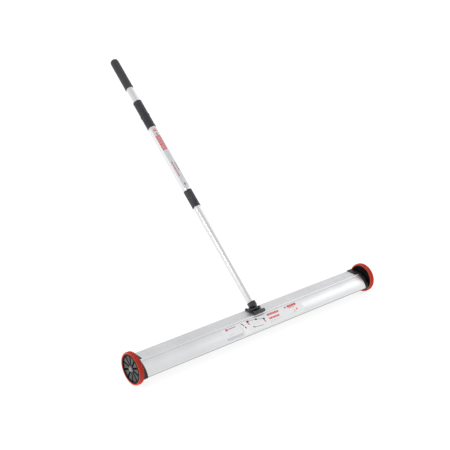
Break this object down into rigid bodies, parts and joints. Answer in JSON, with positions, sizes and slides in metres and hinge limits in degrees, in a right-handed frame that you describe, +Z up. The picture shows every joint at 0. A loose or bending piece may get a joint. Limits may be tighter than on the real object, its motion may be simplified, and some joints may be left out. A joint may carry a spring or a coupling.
{
  "type": "magnetic sweeper",
  "caption": "Wheeled magnetic sweeper: long aluminium head with magnets, two spoked wheels with red tyres, and a tilting telescopic handle with a twist lock and grip.",
  "frame": {"origin": "on the floor, midway between the wheels and straight below the axle", "axes": "+X along the axle to the right seen from the front, -Y the front face, +Z up"},
  "size_m": [0.984, 0.8505, 0.7578],
  "materials": {
    "aluminium_profile": "satin extruded",
    "aluminium_tube": "bright drawn",
    "steel": "zinc plated",
    "chrome": "polished",
    "magnet": "ceramic, ground",
    "label_film": "printed film",
    "black_plastic": "moulded",
    "hub_plastic": "moulded",
    "clear_plastic": "nylon",
    "tyre": "red rubber",
    "grip_rubber": "foam grip"
  },
  "bodies": {
    "head": {"housing_extrusion": "aluminium_profile", "magnets": "magnet", "magnet_backing_plate": "steel", "housing_label": "label_film", "right_end_cap": "black_plastic", "left_end_cap": "black_plastic", "right_cap_screws": "steel", "left_cap_screws": "steel", "left_axle_bolt": "chrome", "left_outer_washer": "chrome", "left_inner_washer": "steel", "left_axle_nut": "steel", "right_axle_bolt": "chrome", "right_outer_washer": "chrome", "right_inner_washer": "steel", "right_axle_nut": "steel", "bracket_saddle": "black_plastic", "bracket_clamp_bar": "black_plastic", "bracket_screws": "steel", "pivot_bolt": "chrome", "pivot_nut": "chrome"},
    "left_wheel": {"left_wheel_hub": "hub_plastic", "left_wheel_bushing": "clear_plastic", "left_tyre": "tyre"},
    "right_wheel": {"right_wheel_hub": "hub_plastic", "right_wheel_bushing": "clear_plastic", "right_tyre": "tyre"},
    "handle": {"handle_socket": "black_plastic", "socket_screw": "steel", "lower_tube": "aluminium_tube", "tube_coupler": "black_plastic", "coupler_rivets": "steel", "middle_tube": "aluminium_tube", "tube_label": "label_film", "twist_lock_base": "black_plastic", "twist_lock_collet": "clear_plastic"},
    "lock_sleeve": {"twist_lock_sleeve": "black_plastic"},
    "extension": {"upper_tube": "aluminium_tube", "guide_plug": "black_plastic", "grip": "grip_rubber"}
  },
  "joints": [
    {"name": "left_wheel_spin", "type": "hinge", "parent": "head", "child": "left_wheel", "pos_m": [-0.481, 0, 0.05], "axis": [1, 0, 0], "continuous": true},
    {"name": "right_wheel_spin", "type": "hinge", "parent": "head", "child": "right_wheel", "pos_m": [0.481, 0, 0.05], "axis": [1, 0, 0], "continuous": true},
    {"name": "handle_tilt", "type": "hinge", "parent": "head", "child": "handle", "pos_m": [-0.002, 0.0194, 0.0768], "axis": [1, 0, 0], "range_deg": [-2, 73]},
    {"name": "handle_extend", "type": "slide", "parent": "handle", "child": "extension", "axis": [0, 0.7547, 0.6561], "range_m": [-0.044, 0.2]},
    {"name": "twist_lock_turn", "type": "hinge", "parent": "handle", "child": "lock_sleeve", "pos_m": [-0.002, 0.0194, 0.0768], "axis": [0, 0.7547, 0.6561], "range_deg": [0, 90]}
  ]
}
